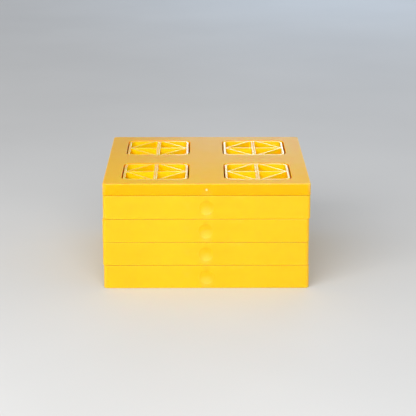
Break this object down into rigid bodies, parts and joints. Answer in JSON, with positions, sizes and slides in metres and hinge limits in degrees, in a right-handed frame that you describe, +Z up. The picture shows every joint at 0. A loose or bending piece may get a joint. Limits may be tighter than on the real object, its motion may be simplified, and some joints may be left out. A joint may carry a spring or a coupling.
{
  "type": "stack of interlocking levelling blocks",
  "caption": "Stack of interlocking square plastic levelling blocks with a flush cap plate, for raising a trailer wheel or jack foot.",
  "frame": {"origin": "on the ground, at the middle of the bottom block's footprint", "axes": "+Z up through the stack, -Y towards the faces with the gate marks, +X to the right seen from there"},
  "size_m": [0.2167, 0.2166, 0.1135],
  "materials": {
    "yellow_block": "semi-gloss moulded polypropylene, fine grain",
    "yellow_cap": "semi-gloss moulded polypropylene, slightly deeper yellow, scuffed top"
  },
  "bodies": {
    "bottom_block": {"bottom_block": "yellow_block"},
    "second_block": {"second_block": "yellow_block"},
    "third_block": {"third_block": "yellow_block"},
    "top_block": {"top_block": "yellow_block"},
    "flush_cap": {"flush_cap": "yellow_cap"}
  },
  "joints": [
    {"name": "second_block_lift", "type": "slide", "parent": "bottom_block", "child": "second_block", "axis": [0, 0, 1], "range_m": [0, 0.06]},
    {"name": "third_block_lift", "type": "slide", "parent": "second_block", "child": "third_block", "axis": [0, 0, 1], "range_m": [0, 0.06]},
    {"name": "top_block_lift", "type": "slide", "parent": "third_block", "child": "top_block", "axis": [0, 0, 1], "range_m": [0, 0.06]},
    {"name": "cap_lift", "type": "slide", "parent": "top_block", "child": "flush_cap", "axis": [0, 0, 1], "range_m": [0, 0.06]}
  ]
}
